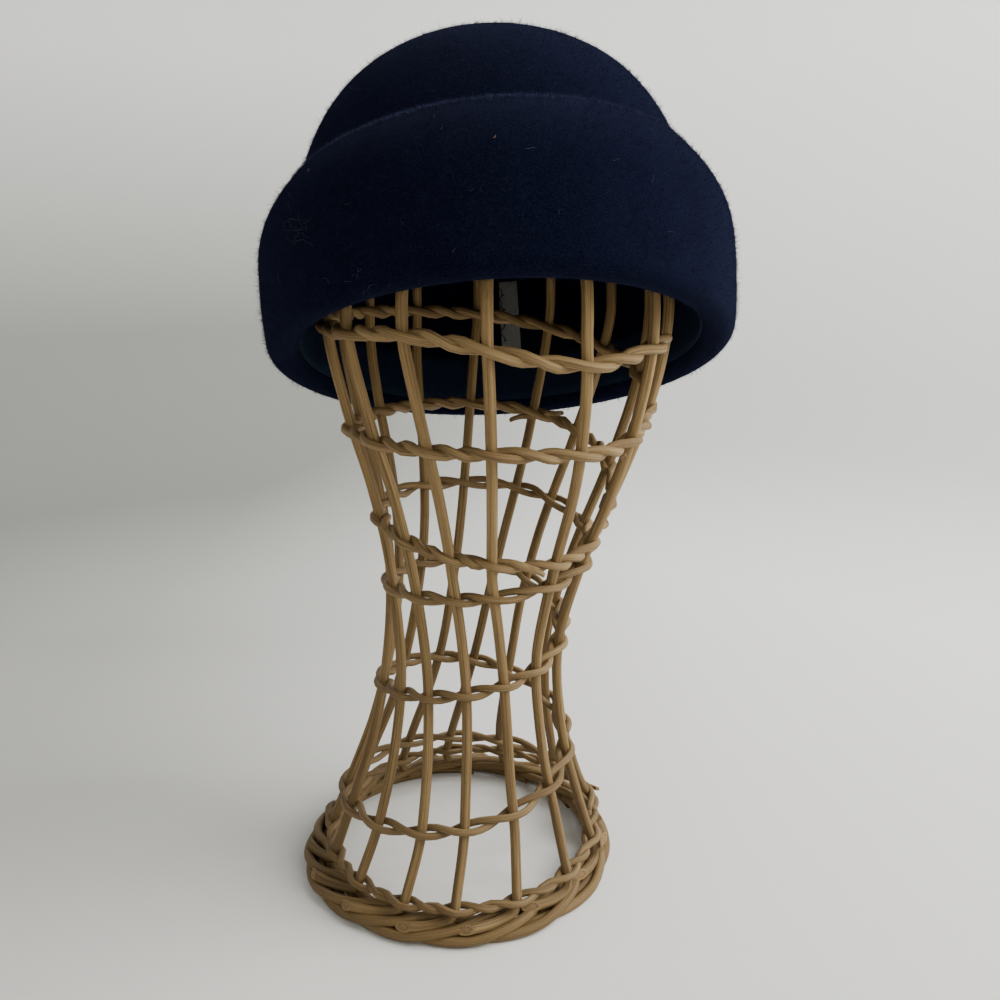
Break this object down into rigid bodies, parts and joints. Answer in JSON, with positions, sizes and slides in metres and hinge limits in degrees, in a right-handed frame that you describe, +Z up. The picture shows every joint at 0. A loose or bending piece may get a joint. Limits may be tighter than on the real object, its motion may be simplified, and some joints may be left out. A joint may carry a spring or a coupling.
{
  "type": "sailor hat on wicker stand",
  "caption": "Felt sailor hat with a rounded crown and a deep turned-up cuff, resting tilted back on an open, waisted stand of upright canes bound by a twined spiral.",
  "frame": {"origin": "middle of the outline on the floor, under the foot border", "axes": "+Z up, the front that shows the open rim faces -Y, +X to the right seen from the front"},
  "size_m": [0.214, 0.218, 0.3879],
  "materials": {
    "felt": "matte navy wool felt",
    "ribbon": "ribbed navy ribbon",
    "label_cloth": "plain woven cloth",
    "cane": "bare rattan cane"
  },
  "bodies": {
    "root": {"felt_body": "felt", "sweatband": "ribbon", "label": "label_cloth", "stake_01": "cane", "stake_02": "cane", "stake_03": "cane", "stake_04": "cane", "stake_05": "cane", "stake_06": "cane", "stake_07": "cane", "stake_08": "cane", "stake_09": "cane", "stake_10": "cane", "stake_11": "cane", "stake_12": "cane", "stake_13": "cane", "stake_14": "cane", "weave_turn_1": "cane", "weave_turn_2": "cane", "weave_turn_3": "cane", "weave_turn_4": "cane", "weave_turn_5": "cane", "weave_turn_6": "cane", "weave_turn_7": "cane", "foot_border": "cane", "top_ring": "cane"}
  },
  "joints": []
}
